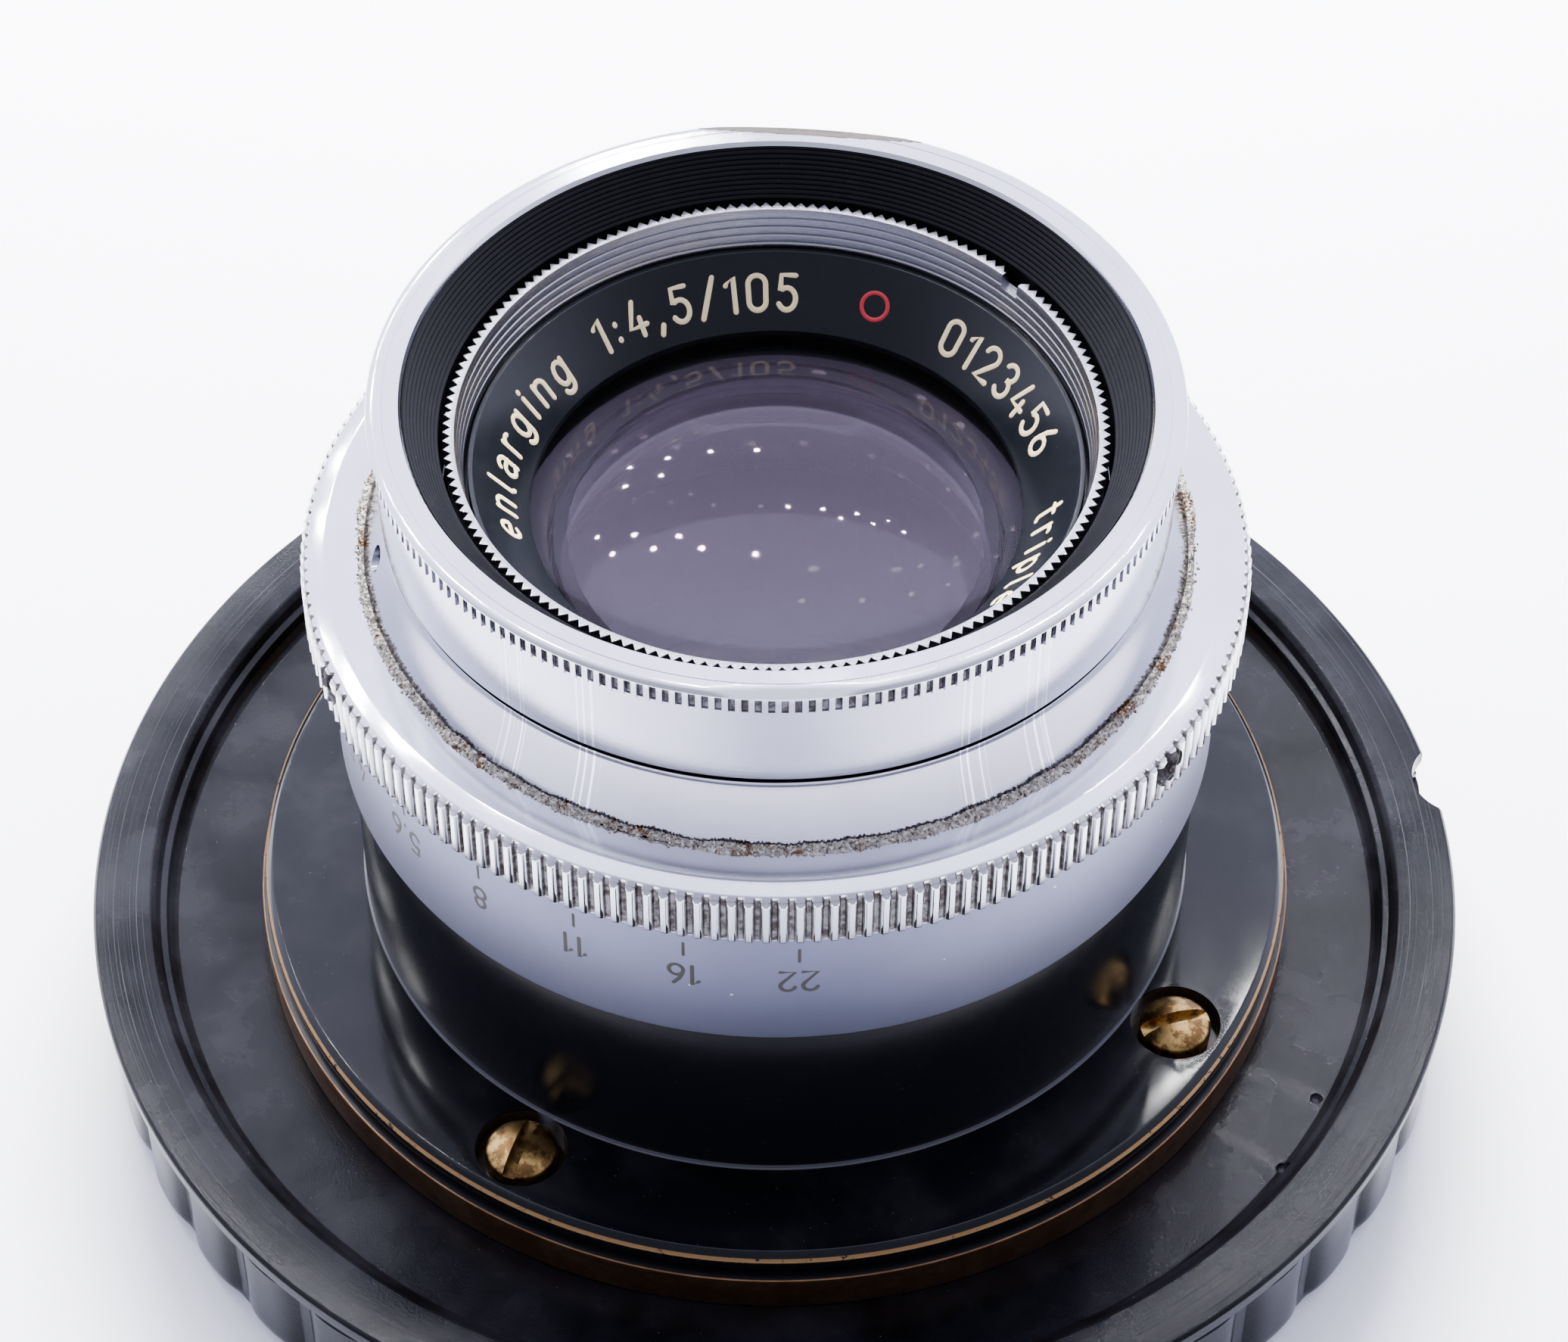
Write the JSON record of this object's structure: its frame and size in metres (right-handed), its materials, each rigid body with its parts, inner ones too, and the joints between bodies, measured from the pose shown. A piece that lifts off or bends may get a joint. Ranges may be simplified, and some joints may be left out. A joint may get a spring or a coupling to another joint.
{
  "type": "enlarger lens",
  "caption": "Chromed enlarging lens with a knurled aperture ring that turns a bladed iris, screwed by a black flange to a round moulded lens mount with a fluted skirt.",
  "frame": {"origin": "on the optical axis, in the plane that the skirt of the lens mount stands on", "axes": "+Z along the optical axis, towards the front glass; -Y is the side of the engraved scale"},
  "size_m": [0.083, 0.0829, 0.0486],
  "materials": {
    "polished_chrome": "polished",
    "turned_silver": "fine turned",
    "satin_chrome": "satin",
    "black_lacquer": "gloss black lacquer",
    "black_anodised": "matt black",
    "tarnished_brass": "tarnished",
    "bright_brass": "worn bright",
    "dark_steel": "oxidised",
    "blued_steel": "blued matt",
    "coated_glass": "polished, violet coated",
    "moulded_black": "moulded phenolic, satin"
  },
  "bodies": {
    "lens": {"front_hood": "polished_chrome", "retaining_ring": "turned_silver", "name_ring": "black_anodised", "front_glass": "coated_glass", "front_cell": "black_anodised", "spacer_ring": "black_anodised", "middle_glass": "coated_glass", "main_barrel": "polished_chrome", "barrel_set_screw": "dark_steel", "iris_plate": "black_anodised", "rear_cell": "black_anodised", "rear_glass": "coated_glass", "rear_retaining_ring": "black_anodised", "lower_body": "satin_chrome", "rear_barrel": "black_lacquer", "flange": "black_lacquer", "flange_base_ring": "tarnished_brass", "lens_mount": "moulded_black", "lock_ring": "black_lacquer", "flange_screw_1": "bright_brass", "flange_screw_2": "bright_brass", "flange_screw_3": "bright_brass", "flange_screw_4": "bright_brass"},
    "aperture_control": {"aperture_ring": "polished_chrome", "drive_pin": "dark_steel", "iris_drive_ring": "black_anodised", "ring_grub_screw_1": "dark_steel", "ring_grub_screw_2": "dark_steel", "ring_grub_screw_3": "dark_steel"},
    "blade_1": {"iris_blade_1": "blued_steel"},
    "blade_2": {"iris_blade_2": "blued_steel"},
    "blade_3": {"iris_blade_3": "blued_steel"},
    "blade_4": {"iris_blade_4": "blued_steel"},
    "blade_5": {"iris_blade_5": "blued_steel"},
    "blade_6": {"iris_blade_6": "blued_steel"},
    "blade_7": {"iris_blade_7": "blued_steel"},
    "blade_8": {"iris_blade_8": "blued_steel"}
  },
  "joints": [
    {"name": "aperture_turn", "type": "hinge", "parent": "lens", "child": "aperture_control", "pos_m": [0, 0, 0.0358], "axis": [0, 0, 1], "range_deg": [0, 70]},
    {"name": "blade_1_swing", "type": "hinge", "parent": "lens", "child": "blade_1", "pos_m": [0.0166, 0, 0.03174], "axis": [0, 0, 1], "range_deg": [0, 33]},
    {"name": "blade_2_swing", "type": "hinge", "parent": "lens", "child": "blade_2", "pos_m": [0.01174, 0.01174, 0.03154], "axis": [0, 0, 1], "range_deg": [0, 33]},
    {"name": "blade_3_swing", "type": "hinge", "parent": "lens", "child": "blade_3", "pos_m": [0, 0.0166, 0.03134], "axis": [0, 0, 1], "range_deg": [0, 33]},
    {"name": "blade_4_swing", "type": "hinge", "parent": "lens", "child": "blade_4", "pos_m": [-0.01174, 0.01174, 0.03114], "axis": [0, 0, 1], "range_deg": [0, 33]},
    {"name": "blade_5_swing", "type": "hinge", "parent": "lens", "child": "blade_5", "pos_m": [-0.0166, 0, 0.03094], "axis": [0, 0, 1], "range_deg": [0, 33]},
    {"name": "blade_6_swing", "type": "hinge", "parent": "lens", "child": "blade_6", "pos_m": [-0.01174, -0.01174, 0.03074], "axis": [0, 0, 1], "range_deg": [0, 33]},
    {"name": "blade_7_swing", "type": "hinge", "parent": "lens", "child": "blade_7", "pos_m": [0, -0.0166, 0.03054], "axis": [0, 0, 1], "range_deg": [0, 33]},
    {"name": "blade_8_swing", "type": "hinge", "parent": "lens", "child": "blade_8", "pos_m": [0.01174, -0.01174, 0.03034], "axis": [0, 0, 1], "range_deg": [0, 33]}
  ],
  "couplings": [
    {"joint": "blade_1_swing", "follows": "aperture_turn", "ratio": 0.45714},
    {"joint": "blade_2_swing", "follows": "aperture_turn", "ratio": 0.45714},
    {"joint": "blade_3_swing", "follows": "aperture_turn", "ratio": 0.45714},
    {"joint": "blade_4_swing", "follows": "aperture_turn", "ratio": 0.45714},
    {"joint": "blade_5_swing", "follows": "aperture_turn", "ratio": 0.45714},
    {"joint": "blade_6_swing", "follows": "aperture_turn", "ratio": 0.45714},
    {"joint": "blade_7_swing", "follows": "aperture_turn", "ratio": 0.45714},
    {"joint": "blade_8_swing", "follows": "aperture_turn", "ratio": 0.45714}
  ]
}
